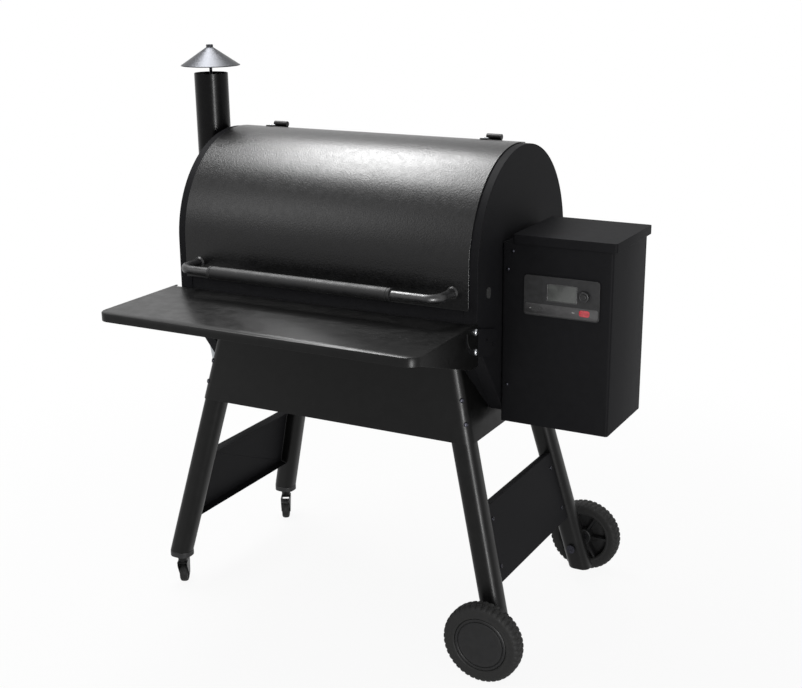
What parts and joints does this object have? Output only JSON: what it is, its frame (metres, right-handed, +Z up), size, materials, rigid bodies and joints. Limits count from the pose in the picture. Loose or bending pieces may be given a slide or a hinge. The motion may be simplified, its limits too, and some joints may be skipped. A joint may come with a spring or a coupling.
{
  "type": "pellet smoker grill",
  "caption": "Free-standing pellet smoker grill: a lidded barrel on splayed legs with a pellet hopper and control panel, folding front shelf, chimney, wheels and casters.",
  "frame": {"origin": "middle of the bounding box on the floor plane", "axes": "+Z up, the front with the shelf and handle faces -Y, the hopper is at +X"},
  "size_m": [1.2218, 0.9124, 1.397],
  "materials": {
    "black_powder_coat": "satin black powder coat with a fine grain",
    "galvanised_steel": "dull zinc coating",
    "bare_steel": "plain steel, worn",
    "enamelled_steel": "glossy black enamel",
    "black_plastic": "fine moulded texture",
    "display_panel": "clear window over a grey display",
    "black_rubber": "matt rubber",
    "wheel_tyre": "matt tread with a moulded hub"
  },
  "bodies": {
    "base": {"apron": "black_powder_coat", "auger_motor": "black_plastic", "auger_tube": "bare_steel", "axle_front": "bare_steel", "axle_rear": "bare_steel", "barrel_shell": "black_powder_coat", "body_hinge_left": "black_powder_coat", "body_hinge_right": "black_powder_coat", "brace_left": "black_powder_coat", "brace_right": "black_powder_coat", "chimney_base": "black_powder_coat", "chimney_pipe": "black_powder_coat", "controller_bezel": "black_plastic", "controller_screen": "display_panel", "drain_spout": "black_powder_coat", "drip_tray": "bare_steel", "fan_housing": "black_plastic", "fire_pot": "bare_steel", "grate_left": "enamelled_steel", "grate_right": "enamelled_steel", "heat_baffle": "bare_steel", "hopper_bin": "galvanised_steel", "hopper_shell": "black_powder_coat", "igniter_rod": "bare_steel", "left_end_panel": "black_powder_coat", "leg_front_left": "black_powder_coat", "leg_front_right": "black_powder_coat", "leg_plug_front": "black_plastic", "leg_plug_rear": "black_plastic", "leg_rear_left": "black_powder_coat", "leg_rear_right": "black_powder_coat", "power_inlet": "black_plastic", "probe_grommet": "black_rubber", "probe_jack": "black_rubber", "right_end_panel": "black_powder_coat", "shelf_bracket_left": "black_powder_coat", "shelf_bracket_right": "black_powder_coat"},
    "lid": {"lid_shell": "black_powder_coat", "lid_handle_rod": "black_powder_coat", "lid_handle_grip": "black_plastic", "lid_hinge_left": "black_powder_coat", "lid_hinge_right": "black_powder_coat"},
    "shelf": {"front_shelf": "black_powder_coat"},
    "hopper_cover": {"hopper_lid": "black_powder_coat"},
    "dial": {"controller_dial": "black_plastic"},
    "dial_push": {"dial_button": "black_plastic"},
    "flue_cap": {"chimney_cap": "bare_steel"},
    "auger": {"auger_screw": "bare_steel"},
    "fan": {"fan_impeller": "black_plastic"},
    "front_wheel": {"wheel_front": "wheel_tyre"},
    "rear_wheel": {"wheel_rear": "wheel_tyre"},
    "front_fork": {"caster_fork_front": "black_plastic"},
    "front_roller": {"caster_wheel_front": "black_rubber"},
    "front_brake": {"caster_brake_front": "black_plastic"},
    "rear_fork": {"caster_fork_rear": "black_plastic"},
    "rear_roller": {"caster_wheel_rear": "black_rubber"},
    "rear_brake": {"caster_brake_rear": "black_plastic"},
    "bail": {"bucket_bail": "bare_steel"},
    "bucket": {"grease_bucket": "galvanised_steel"}
  },
  "joints": [
    {"name": "lid_hinge", "type": "hinge", "parent": "base", "child": "lid", "pos_m": [-0.069, 0.1662, 1.1992], "axis": [-1, 0, 0], "range_deg": [0, 90]},
    {"name": "shelf_fold", "type": "hinge", "parent": "base", "child": "shelf", "pos_m": [-0.069, -0.1728, 0.8212], "axis": [1, 0, 0], "range_deg": [0, 90]},
    {"name": "hopper_lid_hinge", "type": "hinge", "parent": "base", "child": "hopper_cover", "pos_m": [0.4695, 0.2207, 1], "axis": [-1, 0, 0], "range_deg": [0, 95]},
    {"name": "dial_turn", "type": "hinge", "parent": "base", "child": "dial", "pos_m": [0.5389, -0.0258, 0.888], "axis": [0, 1, 0], "continuous": true},
    {"name": "dial_press", "type": "slide", "parent": "dial", "child": "dial_push", "axis": [0, 1, 0], "range_m": [0, 0.0014], "stiffness_N_per_m": 400},
    {"name": "cap_height", "type": "slide", "parent": "base", "child": "flue_cap", "axis": [0, 0, 1], "range_m": [-0.012, 0]},
    {"name": "auger_turn", "type": "hinge", "parent": "base", "child": "auger", "pos_m": [0.231, 0.0962, 0.6125], "axis": [1, 0, 0], "continuous": true},
    {"name": "fan_spin", "type": "hinge", "parent": "base", "child": "fan", "pos_m": [0.416, 0.1622, 0.62], "axis": [0, 1, 0], "continuous": true},
    {"name": "front_wheel_roll", "type": "hinge", "parent": "base", "child": "front_wheel", "pos_m": [0.39409, -0.2258, 0.0969], "axis": [0, 1, 0], "continuous": true},
    {"name": "rear_wheel_roll", "type": "hinge", "parent": "base", "child": "rear_wheel", "pos_m": [0.39409, 0.4342, 0.0969], "axis": [0, 1, 0], "continuous": true},
    {"name": "front_caster_swivel", "type": "hinge", "parent": "base", "child": "front_fork", "pos_m": [-0.5313, -0.1477, 0.07], "axis": [0, 0, 1], "continuous": true},
    {"name": "front_caster_roll", "type": "hinge", "parent": "front_fork", "child": "front_roller", "pos_m": [-0.53881, -0.13357, 0.0275], "axis": [-0.8829, -0.4695, 0], "continuous": true},
    {"name": "front_caster_brake", "type": "hinge", "parent": "front_fork", "child": "front_brake", "pos_m": [-0.54351, -0.12474, 0.0615], "axis": [-0.8829, -0.4695, 0], "range_deg": [0, 10]},
    {"name": "rear_caster_swivel", "type": "hinge", "parent": "base", "child": "rear_fork", "pos_m": [-0.5313, 0.3561, 0.07], "axis": [0, 0, 1], "continuous": true},
    {"name": "rear_caster_roll", "type": "hinge", "parent": "rear_fork", "child": "rear_roller", "pos_m": [-0.52379, 0.34197, 0.0275], "axis": [0.8829, 0.4695, 0], "continuous": true},
    {"name": "rear_caster_brake", "type": "hinge", "parent": "rear_fork", "child": "rear_brake", "pos_m": [-0.51909, 0.33314, 0.0615], "axis": [0.8829, 0.4695, 0], "range_deg": [0, 10]},
    {"name": "bail_swing", "type": "hinge", "parent": "base", "child": "bail", "pos_m": [-0.544, 0.1392, 0.715], "axis": [1, 0, 0], "range_deg": [-15, 15]},
    {"name": "bucket_tilt", "type": "hinge", "parent": "bail", "child": "bucket", "pos_m": [-0.544, 0.1392, 0.631], "axis": [0, 1, 0], "range_deg": [-8, 15]}
  ]
}
